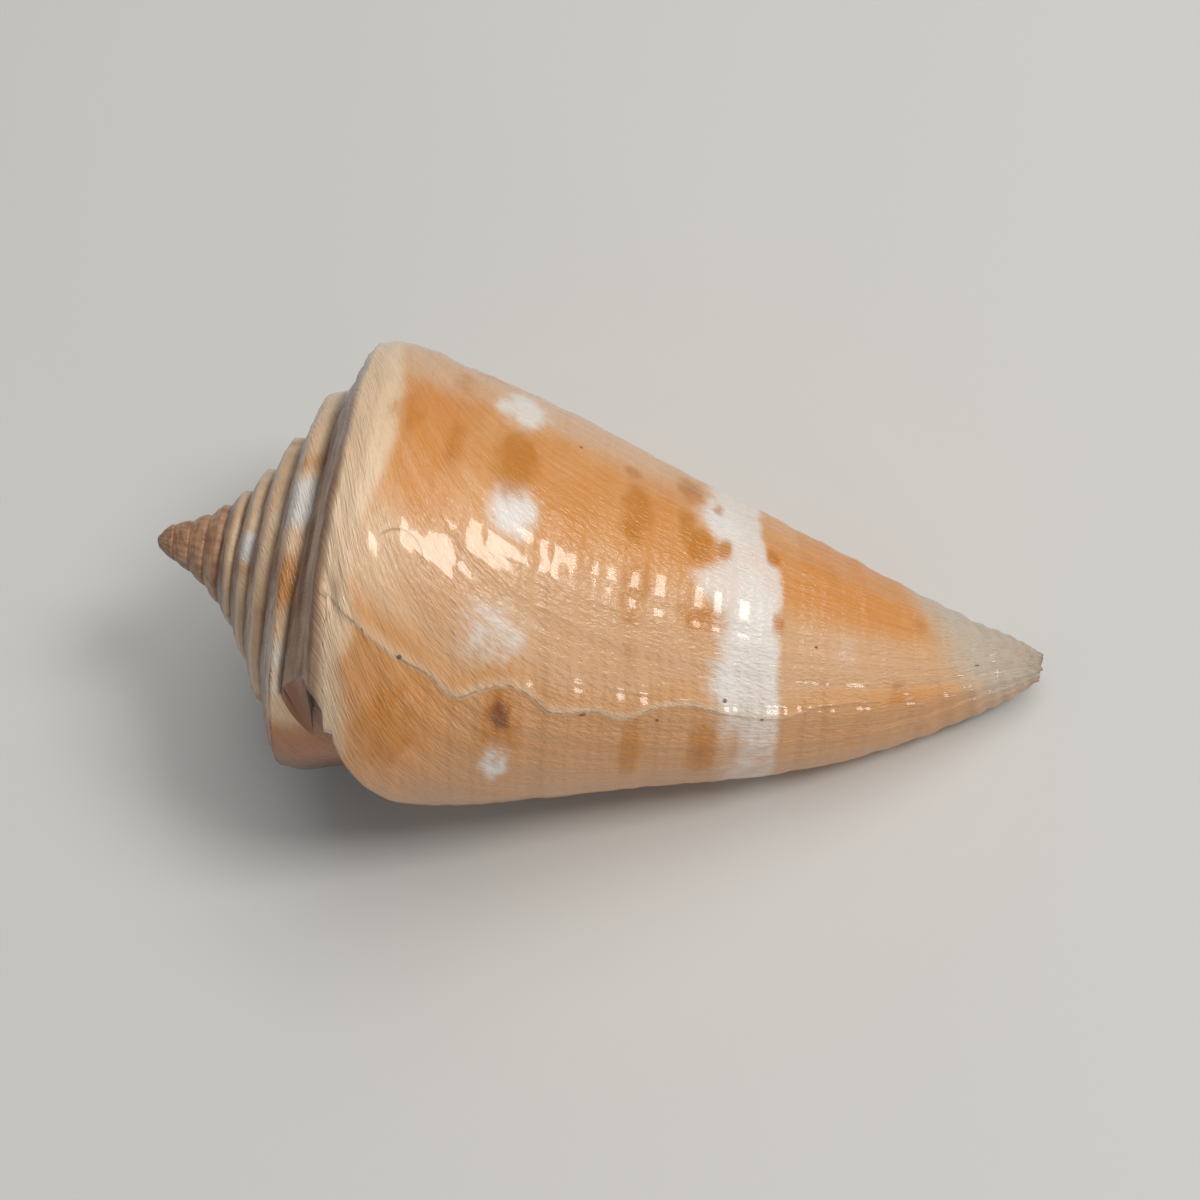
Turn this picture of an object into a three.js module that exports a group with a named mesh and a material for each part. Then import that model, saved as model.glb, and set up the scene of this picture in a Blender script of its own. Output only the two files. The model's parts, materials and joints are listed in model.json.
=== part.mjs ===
// Cone shell: a right-handed sea-snail shell that grew as one piece. A whorl with a sloping ramp, a
// rounded shoulder and a long conical side winds round the axis, each turn on the side of the one before.
// The last whorl leaves a long narrow aperture between its thin lip and the turn inside it, open in front.
import * as THREE from "three";

// Driving dimensions, millimetres. Growth is counted in turns: 0 at the lip, negative towards the apex.
const LENGTH = 40;
const FIRST_TURN = -9.3;
const APEX_TURNS = 0.9; // turns over which the round cap at the apex opens
const SHOULDER_RADIUS = 12.71; // what steady growth alone would give at the lip
const GROWTH = 0.335; // natural logarithm of the growth of the shoulder in one turn
const SLOWING = { share: 0.21, rate: 3.2 }; // adult growth slows over the last turn
const SHOULDER_HEIGHT = { start: 6.76, pitch: 0.729, drop: 2.906, rate: 0.772 };
const LIP_DESCENT = { depth: 0.45, from: -0.27, over: 0.12 }; // the shoulder steps forward near the lip
const BELLY = { turn: -0.8125, spread: 0.057, depth: 0.03 }; // the flatter side that the shell rests on
const LEAN = 0.0375; // the whorls lean on the axis by this slope
const FRONT_OFFSET = 0.68; // how far the front half of the body swings to the lip's side
const WALL = 0.55;
const LIP_EDGE = 0.3;
const APERTURE_DEPTH = 0.65; // turns that the aperture runs in behind the lip
// Outline of the lip in turns: a sinus at the shoulder and ramp, and a small step back at the front end.
const LIP = { front: 0.05, sinus: 0.21, fade: 0.15, ramp: 0.02, frontStep: 0.04, stepFrom: 0.8 };
const THINNING = 0.08; // turns over which the wall thins to the lip's edge
const HOLLOW_SHARE = 0.45; // most of the gap to the inner turn that the wall may take up
const LEAST_GAP = 0.1;
// The part of a whorl's side that the next turn leaves showing, as a share of the shoulder's radius: it
// varies round the axis by the lean of the spire, and narrows over the last turns.
const SHOWN = { open: 0.1, swing: 0.035, late: 0.045, from: -1.35, over: 0.35 };
// How the front of the side spreads out from the turn inside it, and how much the spire's shoulders flare.
const SPREAD = { even: 0.28, front: 0.26, power: 6 };
const FLARE = { size: 0.035, from: -1.05, over: 0.4, reach: 0.022, most: 1.5 };
// The ramp leaves the suture in a ledge, and carries one low ridge beside a shallow spiral channel.
const LEDGE = 0.12;
const RIDGE = { height: 0.07, at: 0.33, width: 0.1 };
const SUTURE_SHARE = 0.0124; // where the last turn's own suture row meets the lip

// How the shell lies: on its aperture side, with the front end low, degrees.
const REST_ROLL = -65.85;
const REST_PITCH = 14.64;

// The side of the last whorl half a turn behind the lip: radius as a share of the shoulder's, against the
// place between the shoulder, 0, and the front end, 1.
const SIDE = [
  [0, 1],
  [0.031, 1.0165],
  [0.068, 0.998],
  [0.113, 0.96],
  [0.206, 0.888],
  [0.33, 0.772],
  [0.454, 0.65],
  [0.582, 0.536],
  [0.713, 0.404],
  [0.821, 0.277],
  [0.911, 0.168],
  [0.959, 0.113],
  [1, 0.048],
];

// The grid of the surface: columns round the spiral, and rows from the suture to the front end.
const COLUMNS_PER_TURN = 48;
const RAMP_ROWS = [0, 0.16, 0.36, 0.62, 0.86, 1];
const SIDE_ROWS = [
  0.03, 0.055, 0.09, 0.135, 0.19, 0.25, 0.32, 0.39, 0.46, 0.53, 0.6, 0.67, 0.74, 0.8, 0.86, 0.91, 0.95,
  0.98, 1,
];
const SHOULDER_ROW = RAMP_ROWS.length - 1;
const SUTURE_ROW = SHOULDER_ROW + 1; // where the next turn joins the side
const LAST_ROW = SUTURE_ROW + SIDE_ROWS.length;
const INNER_RAMP_ROW = 3; // the first row of the ramp that has the hollow under it
const INNER_SIDE_ROW = SUTURE_ROW + 2; // the first row of the inner turn that the hollow reaches
const INNER_SHARE = SIDE_ROWS[1];
const BEND = 0.35; // turns over which the columns bend to follow the lip

const smooth = (x) => THREE.MathUtils.smoothstep(x, 0, 1);

// A smooth curve through points: a cubic between each two, with slopes taken from the neighbours.
function through(points) {
  const rise = (a, b) => (points[b][1] - points[a][1]) / (points[b][0] - points[a][0]);
  const last = points.length - 1;
  const slopes = points.map((_, k) => rise(Math.max(k - 1, 0), Math.min(k + 1, last)));
  return (x) => {
    let k = 0;
    while (k < last - 1 && x > points[k + 1][0]) k++;
    const [x0, y0] = points[k];
    const [x1, y1] = points[k + 1];
    const step = x1 - x0;
    const u = THREE.MathUtils.clamp((x - x0) / step, 0, 1);
    const start = y0 * (1 + 2 * u) * (1 - u) ** 2 + slopes[k] * step * u * (1 - u) ** 2;
    return start + y1 * u * u * (3 - 2 * u) - slopes[k + 1] * step * u * u * (1 - u);
  };
}
const sideShare = through(SIDE);

function shoulderRadius(turn) {
  const opening = THREE.MathUtils.clamp((turn - FIRST_TURN) / APEX_TURNS, 0, 1);
  const cap = Math.sqrt(1 - (1 - opening) ** 2);
  const slowed = 1 - SLOWING.share * Math.exp(SLOWING.rate * turn);
  const off = THREE.MathUtils.clamp((turn - BELLY.turn) / BELLY.spread, -1, 1);
  const flattened = 1 - BELLY.depth * (1 - off ** 2) ** 2;
  return SHOULDER_RADIUS * Math.exp(GROWTH * turn) * slowed * flattened * cap;
}

function shoulderHeight(turn) {
  const { start, pitch, drop, rate } = SHOULDER_HEIGHT;
  const descent = LIP_DESCENT.depth * smooth((turn - LIP_DESCENT.from) / LIP_DESCENT.over);
  return start + pitch * turn + drop * Math.exp(rate * turn) + descent;
}

const aroundAxis = (turn) => Math.PI * (1 + 2 * turn);

// How much of a whorl's side shows below its shoulder, as a share of the side.
function shownShare(turn) {
  const open = SHOWN.open + SHOWN.swing * Math.cos(aroundAxis(turn));
  const late = smooth((turn - SHOWN.from) / SHOWN.over);
  const shown = shoulderRadius(turn) * (open * (1 - late) + SHOWN.late * late);
  return shown / (LENGTH - shoulderHeight(turn));
}

// A point of a whorl in the half plane of the axis, with share its place on the side.
function sidePoint(turn, share) {
  const spread = 1 + SPREAD.even * share + SPREAD.front * share ** SPREAD.power;
  const young = smooth((FLARE.from - turn) / FLARE.over);
  const flare = 1 + FLARE.size * young * THREE.MathUtils.clamp(share / FLARE.reach, 0, FLARE.most);
  const along = shoulderHeight(turn) + share * (LENGTH - shoulderHeight(turn));
  const radius = shoulderRadius(turn) * sideShare(share) * spread ** (2 * turn + 1) * flare;
  return { along, radius, share };
}

function suturePoint(turn) {
  if (turn - 1 > FIRST_TURN) return sidePoint(turn - 1, shownShare(turn - 1));
  return { along: shoulderHeight(FIRST_TURN), radius: 0, share: 0 };
}

// The sloping ramp, from the suture, across = 0, to the shoulder, across = 1.
function rampPoint(turn, across) {
  const from = suturePoint(turn);
  const ledge = LEDGE * Math.sqrt(Math.max(Math.sin(Math.PI * across), 0));
  const inside = across > 0 && across < 1;
  const ridge = inside ? RIDGE.height * Math.exp(-(((across - RIDGE.at) / RIDGE.width) ** 2)) : 0;
  const down = across - ledge + ridge;
  const along = from.along + (shoulderHeight(turn) - from.along) * down;
  return { along, radius: from.radius + (shoulderRadius(turn) - from.radius) * across, share: 0 };
}

const rowPoint = (turn, row) => {
  if (row <= SHOULDER_ROW) return rampPoint(turn, RAMP_ROWS[row]);
  if (row === SUTURE_ROW) return sidePoint(turn, shownShare(turn));
  return sidePoint(turn, SIDE_ROWS[row - SUTURE_ROW - 1]);
};

// From the half plane to space: x along the axis from the apex, z and y across it.
function place(turn, { along, radius, share }) {
  const angle = aroundAxis(turn);
  const back = LEAN * Math.min(along, shoulderHeight(turn)) * (1 - share) ** 4;
  const front = FRONT_OFFSET * Math.sin(Math.PI * share ** 2);
  const x = along + LEAN * (1 - share) ** 2 * radius * Math.cos(angle);
  return new THREE.Vector3(x, -radius * Math.sin(angle), radius * Math.cos(angle) - back - front);
}

// The lip's edge: how many turns it stands before (+) or behind (-) turn 0.
function sideAdvance(share) {
  const step = LIP.frontStep * smooth((share - LIP.stepFrom) / (1 - LIP.stepFrom));
  return LIP.front - LIP.sinus * Math.exp(-share / LIP.fade) - step;
}

function lipAdvance(row) {
  if (row > SUTURE_ROW) return sideAdvance(SIDE_ROWS[row - SUTURE_ROW - 1]);
  const atSuture = sideAdvance(SUTURE_SHARE);
  if (row === SUTURE_ROW) return atSuture;
  const across = RAMP_ROWS[row];
  return atSuture + (sideAdvance(0) - atSuture) * across - LIP.ramp * Math.sin(Math.PI * across);
}

// Columns bend to follow the lip near it and on the turn inside it, so both sides of the aperture match.
function columnTurn(column, row) {
  const turn = column / COLUMNS_PER_TURN;
  if (turn > -BEND) return turn + lipAdvance(row) * smooth((turn + BEND) / BEND);
  const near = 1 - Math.min(Math.abs(turn + 1) / BEND, 1);
  if (row > SHOULDER_ROW) return turn + lipAdvance(row) * smooth(near);
  return turn + lipAdvance(SUTURE_ROW) * smooth(near) * RAMP_ROWS[row] ** 2;
}

// The inside of the wall: a step of its thickness in from the outside, less where the hollow is narrow.
function innerPoint(column, row) {
  const turn = columnTurn(column, row);
  const point = rowPoint(turn, row);
  const before = rowPoint(turn, row - 1);
  const after = rowPoint(turn, Math.min(row + 1, LAST_ROW));
  const slope = Math.hypot(after.along - before.along, after.radius - before.radius);
  const inner = sidePoint(turn - 1, Math.max(point.share, INNER_SHARE));
  const gap = Math.max(point.radius - inner.radius, LEAST_GAP);
  const thickness = LIP_EDGE + (WALL - LIP_EDGE) * smooth((columnTurn(0, row) - turn) / THINNING);
  const step = Math.min(thickness, HOLLOW_SHARE * gap) / slope;
  const along = point.along + (after.radius - before.radius) * step;
  const radius = point.radius - (after.along - before.along) * step;
  return place(turn, { along, radius, share: point.share });
}

// Collects shared vertices and the triangles between them.
class Surface {
  points = [];
  triangles = [];
  known = new Map();

  vertex(name, make) {
    if (!this.known.has(name)) {
      this.known.set(name, this.points.length);
      this.points.push(make());
    }
    return this.known.get(name);
  }

  triangle(a, b, c) {
    if (a !== b && b !== c && c !== a) this.triangles.push(a, b, c);
  }

  quad(a, b, c, d) {
    this.triangle(a, b, c);
    this.triangle(a, c, d);
  }

  // A strip between two chains of vertices, taking the shorter diagonal each time.
  zip(left, right) {
    let i = 0;
    let j = 0;
    while (i < left.length - 1 || j < right.length - 1) {
      const canLeft = i < left.length - 1;
      const canRight = j < right.length - 1;
      const byLeft = canLeft ? this.distance(left[i + 1], right[j]) : Infinity;
      const byRight = canRight ? this.distance(left[i], right[j + 1]) : Infinity;
      if (byLeft <= byRight) {
        this.triangle(left[i], right[j], left[i + 1]);
        i++;
      } else {
        this.triangle(left[i], right[j], right[j + 1]);
        j++;
      }
    }
  }

  distance(a, b) {
    return this.points[a].distanceTo(this.points[b]);
  }

  fan(loop) {
    const middle = new THREE.Vector3();
    loop.forEach((v) => middle.addScaledVector(this.points[v], 1 / loop.length));
    const centre = this.vertex("fan" + this.points.length, () => middle);
    loop.forEach((v, k) => this.triangle(loop[(k + 1) % loop.length], v, centre));
  }

  geometry() {
    const geometry = new THREE.BufferGeometry().setFromPoints(this.points);
    geometry.setIndex(this.triangles);
    return geometry;
  }
}

const FIRST_COLUMN = Math.round(FIRST_TURN * COLUMNS_PER_TURN);
const HOLLOW_COLUMN = -Math.round(APERTURE_DEPTH * COLUMNS_PER_TURN);
const surface = new Surface();

// A vertex of the outside. The suture row is the row of the turn before that it is joined to.
function outer(column, row) {
  const before = column - COLUMNS_PER_TURN;
  const tip = () => place(FIRST_TURN, suturePoint(FIRST_TURN));
  if (column === FIRST_COLUMN) return surface.vertex("apex", tip);
  if (row === 0) return outer(Math.max(before, FIRST_COLUMN), SUTURE_ROW);
  const turn = columnTurn(column, row);
  return surface.vertex(`outer ${column} ${row}`, () => place(turn, rowPoint(turn, row)));
}

const inner = (column, row) => surface.vertex(`inner ${column} ${row}`, () => innerPoint(column, row));

const range = (from, to) => Array.from({ length: to - from + 1 }, (_, k) => from + k);

function outerPatch(columns, rows) {
  for (const column of range(columns[0], columns[1] - 1))
    for (const row of range(rows[0], rows[1] - 1))
      surface.quad(
        outer(column, row),
        outer(column + 1, row),
        outer(column + 1, row + 1),
        outer(column, row + 1),
      );
}

function spireAndBody() {
  outerPatch([FIRST_COLUMN, 0], [0, SUTURE_ROW]);
  outerPatch([-COLUMNS_PER_TURN, 0], [SUTURE_ROW, LAST_ROW]);
}

function apertureWalls() {
  outerPatch([HOLLOW_COLUMN - COLUMNS_PER_TURN, -COLUMNS_PER_TURN], [INNER_SIDE_ROW, LAST_ROW]);
  for (const column of range(HOLLOW_COLUMN, -1)) {
    const next = column + 1;
    for (const row of range(INNER_RAMP_ROW, LAST_ROW - 1))
      surface.quad(inner(column, row), inner(column, row + 1), inner(next, row + 1), inner(next, row));
    const floor = (c) => outer(c - COLUMNS_PER_TURN, INNER_SIDE_ROW);
    surface.quad(floor(column), inner(column, INNER_RAMP_ROW), inner(next, INNER_RAMP_ROW), floor(next));
    const rim = [inner(column, LAST_ROW), outer(column, LAST_ROW), outer(next, LAST_ROW)];
    surface.quad(...rim, inner(next, LAST_ROW));
  }
}

function lipEdge() {
  for (const row of range(INNER_RAMP_ROW, LAST_ROW - 1))
    surface.quad(outer(0, row), inner(0, row), inner(0, row + 1), outer(0, row + 1));
  const rampEnd = [...range(0, INNER_RAMP_ROW).map((row) => outer(0, row)), inner(0, INNER_RAMP_ROW)];
  const innerTurn = range(SUTURE_ROW, INNER_SIDE_ROW).map((row) => outer(-COLUMNS_PER_TURN, row));
  surface.zip(rampEnd, innerTurn);
}

function hollowEnd() {
  const wall = range(INNER_RAMP_ROW, LAST_ROW).map((row) => inner(HOLLOW_COLUMN, row));
  const floor = range(INNER_SIDE_ROW, LAST_ROW).map((row) => outer(HOLLOW_COLUMN - COLUMNS_PER_TURN, row));
  surface.zip(wall, floor);
}

function frontEnd() {
  const columns = range(HOLLOW_COLUMN - COLUMNS_PER_TURN, HOLLOW_COLUMN).reverse();
  surface.fan([inner(HOLLOW_COLUMN, LAST_ROW), ...columns.map((column) => outer(column, LAST_ROW))]);
}

// Turns the shell to its resting pose and stands it on z = 0, centred on the origin.
function lay(geometry) {
  const { degToRad } = THREE.MathUtils;
  geometry.rotateX(degToRad(REST_ROLL)).rotateY(degToRad(REST_PITCH));
  geometry.computeBoundingBox();
  const box = geometry.boundingBox;
  const middle = box.getCenter(new THREE.Vector3());
  return geometry.translate(-middle.x, -middle.y, -box.min.z);
}

spireAndBody();
apertureWalls();
lipEdge();
hollowEnd();
frontEnd();

const porcelain = new THREE.MeshStandardMaterial({ color: 0xd8a56e, roughness: 0.35, metalness: 0 });
const shell = new THREE.Mesh(lay(surface.geometry()), porcelain);
shell.name = "shell";

const group = new THREE.Group();
group.add(shell);
export default group;
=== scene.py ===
"""A cone shell lying on its aperture side on a pale floor."""
import json

import bpy
import numpy as np
from mathutils import Matrix, Vector

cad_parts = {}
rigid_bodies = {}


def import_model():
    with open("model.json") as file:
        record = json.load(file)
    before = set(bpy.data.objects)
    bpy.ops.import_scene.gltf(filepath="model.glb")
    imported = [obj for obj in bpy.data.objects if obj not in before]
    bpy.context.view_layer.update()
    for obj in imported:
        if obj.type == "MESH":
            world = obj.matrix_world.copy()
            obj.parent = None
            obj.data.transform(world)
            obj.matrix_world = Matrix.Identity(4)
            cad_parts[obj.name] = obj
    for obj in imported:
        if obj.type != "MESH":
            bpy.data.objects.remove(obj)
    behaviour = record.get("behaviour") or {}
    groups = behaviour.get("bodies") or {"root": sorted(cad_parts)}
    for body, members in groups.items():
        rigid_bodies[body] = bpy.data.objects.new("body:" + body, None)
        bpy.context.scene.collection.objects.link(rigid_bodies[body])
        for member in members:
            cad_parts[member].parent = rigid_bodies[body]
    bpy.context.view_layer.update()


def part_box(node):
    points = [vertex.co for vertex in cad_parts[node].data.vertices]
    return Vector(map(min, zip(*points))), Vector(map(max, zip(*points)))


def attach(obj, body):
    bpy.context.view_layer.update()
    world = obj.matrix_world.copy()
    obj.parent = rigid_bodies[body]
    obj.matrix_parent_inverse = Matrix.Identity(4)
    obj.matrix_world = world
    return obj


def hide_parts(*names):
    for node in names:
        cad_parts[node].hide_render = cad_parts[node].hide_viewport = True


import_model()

# ---------------------------------------------------------------- the shell's form
# A cone shell is one piece of aragonite that the animal grew by adding to the lip: a whorl winds round
# the axis, each turn on the side of the one before. Growth is counted in turns, 0 at the lip, and lengths
# are in millimetres.
LENGTH = 40.0
FIRST_TURN, APEX_TURNS = -9.3, 0.9  # a round cap at the apex opens over nearly a turn
SHOULDER_RADIUS, GROWTH = 12.71, 0.335  # at the lip by steady growth alone, and that growth in a turn
SLOWING, SLOWING_RATE = 0.21, 3.2  # adult growth slows over the last turn
START_HEIGHT, PITCH, DROP, DROP_RATE = 6.76, 0.729, 2.906, 0.772  # how the shoulder moves along the axis
DESCENT, DESCENT_FROM, DESCENT_TURNS = 0.45, -0.27, 0.12  # the shoulder steps forward near the lip
BELLY_TURN, BELLY_SPREAD, BELLY_DEPTH = -0.8125, 0.057, 0.03  # the flatter side that the shell rests on
LEAN, FRONT_OFFSET = 0.0375, 0.68  # the whorls lean on the axis, and the front swings to the lip's side
OPEN_SIDE, OPEN_SWING, LATE_SIDE = 0.1, 0.035, 0.045  # what the next turn leaves showing, by radius
LATE_FROM, LATE_TURNS = -1.35, 0.35
SUTURE_SHARE = 0.0124  # where the last turn's own suture meets the lip
SPREAD_EVEN, SPREAD_FRONT, SPREAD_POWER = 0.28, 0.26, 6  # the front spreads from the turn inside it
# Turns before the last stand out below the shoulder, over a short reach of the side.
FLARE, FLARE_FROM, FLARE_TURNS, FLARE_REACH, FLARE_MOST = 0.035, -1.05, 0.4, 0.022, 1.5
LEDGE, RIDGE, RIDGE_AT, RIDGE_WIDTH = 0.12, 0.07, 0.33, 0.1  # the ramp leaves the suture in a ledge
# The lip's edge in turns: forward down the side, and drawn back in a sinus at the shoulder.
LIP_FRONT, LIP_SINUS, LIP_FADE, LIP_RAMP, LIP_STEP, LIP_STEP_FROM = 0.05, 0.21, 0.15, 0.02, 0.04, 0.8
BEND = 0.35  # turns over which the columns of the grid lean to follow the lip
WALL, LIP_EDGE, THINNING = 0.55, 0.28, 0.08  # the wall thins to its edge over the last of these, in turns
HOLLOW_SHARE, LEAST_GAP = 0.45, 0.1  # most of the gap to the inner turn that the wall may take up
INNER_SHARE = 0.055  # where on the inner turn the aperture's floor starts
# The side half a turn behind the lip: the place from shoulder to front end, and the radius as a share.
SIDE = [(0, 1), (0.031, 1.0165), (0.068, 0.998), (0.113, 0.96), (0.206, 0.888), (0.33, 0.772),
        (0.454, 0.65), (0.582, 0.536), (0.713, 0.404), (0.821, 0.277), (0.911, 0.168), (0.959, 0.113),
        (1, 0.048)]


def smooth(x):
    x = np.clip(x, 0, 1)
    return x * x * (3 - 2 * x)


def bell(x):
    return np.exp(-(x**2))


def through(points):
    """A smooth curve through points, with slopes taken from the neighbours of each."""
    x, y = np.array(points, float).T
    last = len(x) - 1
    before, after = np.maximum(np.arange(last + 1) - 1, 0), np.minimum(np.arange(last + 1) + 1, last)
    slope = (y[after] - y[before]) / (x[after] - x[before])

    def curve(at):
        k = np.clip(np.searchsorted(x, at) - 1, 0, last - 1)
        step = x[k + 1] - x[k]
        u = np.clip((at - x[k]) / step, 0, 1)
        start = y[k] * (1 + 2 * u) * (1 - u) ** 2 + slope[k] * step * u * (1 - u) ** 2
        return start + y[k + 1] * u * u * (3 - 2 * u) - slope[k + 1] * step * u * u * (1 - u)

    return curve


side_share = through(SIDE)


def shoulder_radius(turn):
    opening = np.clip((turn - FIRST_TURN) / APEX_TURNS, 0, 1)
    cap = np.sqrt(1 - (1 - opening) ** 2)
    belly = np.clip((turn - BELLY_TURN) / BELLY_SPREAD, -1, 1)
    flattened = 1 - BELLY_DEPTH * (1 - belly**2) ** 2
    slowed = 1 - SLOWING * np.exp(SLOWING_RATE * turn)
    return SHOULDER_RADIUS * np.exp(GROWTH * turn) * slowed * flattened * cap


def shoulder_height(turn):
    """How far along the axis from the apex the shoulder is."""
    descent = DESCENT * smooth((turn - DESCENT_FROM) / DESCENT_TURNS)
    return START_HEIGHT + PITCH * turn + DROP * np.exp(DROP_RATE * turn) + descent


def down_side(turn, share):
    """How far from the shoulder, along the axis, a share of the side is."""
    return share * (LENGTH - shoulder_height(turn))


def shown_share(turn):
    """How much of a whorl's side shows before the next turn covers it."""
    late = smooth((turn - LATE_FROM) / LATE_TURNS)
    open_side = OPEN_SIDE + OPEN_SWING * np.cos(np.pi * (1 + 2 * turn))
    shown_length = shoulder_radius(turn) * (open_side * (1 - late) + LATE_SIDE * late)
    return shown_length / (LENGTH - shoulder_height(turn))


def side_point(turn, share):
    """Height along the axis and radius, at a share of the side between the shoulder and the front end."""
    spread = 1 + SPREAD_EVEN * share + SPREAD_FRONT * share**SPREAD_POWER
    young = smooth((FLARE_FROM - turn) / FLARE_TURNS)
    flare = 1 + FLARE * young * np.clip(share / FLARE_REACH, 0, FLARE_MOST)
    radius = shoulder_radius(turn) * side_share(share) * spread ** (2 * turn + 1) * flare
    return shoulder_height(turn) + down_side(turn, share), radius


def ramp_point(turn, across):
    """The sloping ramp from the suture, 0, to the shoulder, 1, with a small ledge and a spiral ridge."""
    earlier = np.maximum(turn - 1, FIRST_TURN)
    height, radius = side_point(earlier, shown_share(earlier))
    ledge = LEDGE * np.sqrt(np.clip(np.sin(np.pi * across), 0, 1))
    ridge = RIDGE * bell((across - RIDGE_AT) / RIDGE_WIDTH) * (across > 0) * (across < 1)
    down = across - ledge + ridge
    return (height + (shoulder_height(turn) - height) * down,
            radius + (shoulder_radius(turn) - radius) * across)


def profile(turn, where):
    """Any place on a whorl: where runs from -1 at the suture to 0 at the shoulder and 1 at the front."""
    ramp, side = ramp_point(turn, np.clip(where + 1, 0, 1)), side_point(turn, np.clip(where, 0, 1))
    return tuple(np.where(where < 0, r, s) for r, s in zip(ramp, side))


def in_space(turn, height, radius, where):
    angle, share = np.pi * (1 + 2 * turn), np.clip(where, 0, 1)
    leaning_back = LEAN * np.minimum(height, shoulder_height(turn)) * (1 - share) ** 4
    front_swing = FRONT_OFFSET * np.sin(np.pi * share**2)
    along = height + LEAN * (1 - share) ** 2 * radius * np.cos(angle)
    up = radius * np.cos(angle) - leaning_back - front_swing
    return np.stack([along, -radius * np.sin(angle), up], -1)


def side_advance(share):
    step = LIP_STEP * smooth((share - LIP_STEP_FROM) / (1 - LIP_STEP_FROM))
    return LIP_FRONT - LIP_SINUS * np.exp(-share / LIP_FADE) - step


def lip_advance(where):
    """How far the lip's edge stands before turn 0: it draws back in a sinus on the ramp and shoulder."""
    at_suture = side_advance(SUTURE_SHARE)
    across = np.clip(where + 1, 0, 1)
    ramp = at_suture + (side_advance(0) - at_suture) * across - LIP_RAMP * np.sin(np.pi * across)
    return np.where(where < 0, ramp, side_advance(np.maximum(where, SUTURE_SHARE * (where > 0))))


def bent(turn, where, advance):
    """Columns of the grid lean with the lip near it, and on the turn that lies inside it."""
    near = smooth(1 - np.abs(turn + 1) / BEND)
    ramp_lean = side_advance(SUTURE_SHARE) * np.clip(where + 1, 0, 1) ** 2
    inside_lip = near * np.where(where < 0, ramp_lean, advance)
    return turn + np.where(turn > -BEND, advance * smooth((turn + BEND) / BEND), inside_lip)


def inside(turn, where, advance):
    """Points of the wall's inner face. The wall thins towards the lip and where the hollow is narrow."""
    height, radius = profile(turn, where)
    run, rise = np.gradient(height, axis=1), np.gradient(radius, axis=1)
    slope = np.maximum(np.hypot(run, rise), 1e-9)
    inner_radius = side_point(turn - 1, np.maximum(where, INNER_SHARE))[1]
    thick = LIP_EDGE + (WALL - LIP_EDGE) * smooth((advance - turn) / THINNING)
    thick = np.minimum(thick, HOLLOW_SHARE * np.maximum(radius - inner_radius, LEAST_GAP))
    return in_space(turn, height + rise / slope * thick, radius - run / slope * thick, where)


# ---------------------------------------------------------------- the shell's growth marks
# The lip leaves a ridge wherever growth paused. An old break of the lip has healed: its torn edge still
# stands as a wandering step down the back, with a chip at the shoulder. The first turns keep fine ribs.
BREAK = through([(0, -0.236), (0.04, -0.222), (0.09, -0.204), (0.14, -0.19), (0.17, -0.176),
                 (0.21, -0.182), (0.243, -0.186), (0.27, -0.179), (0.3, -0.165), (0.36, -0.165),
                 (0.4, -0.158), (0.443, -0.17), (0.49, -0.173), (0.55, -0.164), (0.6, -0.16),
                 (0.63, -0.162), (0.68, -0.176), (0.8, -0.18)])
BREAK_STEP, BREAK_LIFT, CHIP_DEPTH = 0.06, 0.03, 0.3
LONG_PAUSES, PAUSE_RIDGE, PAUSE_TURNS = (-0.262, -0.247, -0.232, -0.222), 0.025, 0.003
PAUSE_LINES, SWELLING, RINGS = 0.012, 0.03, 0.015  # heights here and below hold at a 10 mm shoulder radius
THREAD_GAP, THREAD_HEIGHT, FRONT_THREADS = 0.47, 0.002, 0.04
RIBS, RIBS_PER_TURN, CORDS, CORDS_ON_RAMP, SUTURE_DEPTH = 0.12, 23, 0.05, 3.2, 0.07
chance = np.random.default_rng(4)


def waves(low, high, count):
    """A wandering curve: sine waves of mixed lengths, none longer than 1 / low."""
    pace = np.geomspace(low, high, count)
    phase = chance.uniform(0, 2 * np.pi, count)
    weight = chance.uniform(0.4, 1, count) * (low / pace) ** 0.45
    return lambda x: sum(w * np.sin(2 * np.pi * p * x + f) for w, p, f in zip(weight, pace, phase))


pauses, swells, _, rings = waves(9, 75, 16), waves(1.5, 6, 5), waves(0.6, 3, 4), waves(0.25, 1.1, 6)


def age(turn, where):
    """When a place was the lip's edge, in turns before the end of growth."""
    on_ramp, on_side = lip_advance(np.minimum(where, 0)), side_advance(np.maximum(where, 0))
    return turn - np.where(where < 0, on_ramp, on_side)


def growth_lines(turn, where, size, distance):
    time, body = age(turn, where), smooth(where / 0.03)
    lines = PAUSE_LINES * pauses(time) + SWELLING * swells(time) * body + RINGS * rings(distance) * body
    long_pauses = sum(bell((time - pause) / PAUSE_TURNS) for pause in LONG_PAUSES)
    return size * lines + PAUSE_RIDGE * long_pauses * smooth(where / 0.05) * smooth((0.75 - where) / 0.3)


def spiral_threads(where, size, distance):
    front = smooth((np.clip(where, 0, 1) - 0.55) / 0.4)
    height = THREAD_HEIGHT + FRONT_THREADS * front
    wave = np.sin(2 * np.pi * distance / (THREAD_GAP * (1 + 0.3 * front)))
    return size * smooth(where / 0.03) * height * wave


def healed_break(turn, where):
    share = np.clip(where, 0, 1)
    after = turn - BREAK(share)
    healed = smooth((turn + 0.4) / 0.1) * smooth((0.8 - share) / 0.15) * (where > -0.1)
    step = smooth(after / 0.0035) * (1 - smooth(after / 0.1))
    lift = BREAK_LIFT * bell(np.minimum(after, 0) / 0.012) * (after < 0)
    chip = np.exp(-(((turn + 0.236) / 0.010) ** 2) - ((where - 0.004) / 0.012) ** 2)
    return healed * (lift - BREAK_STEP * step) - CHIP_DEPTH * chip


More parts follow.
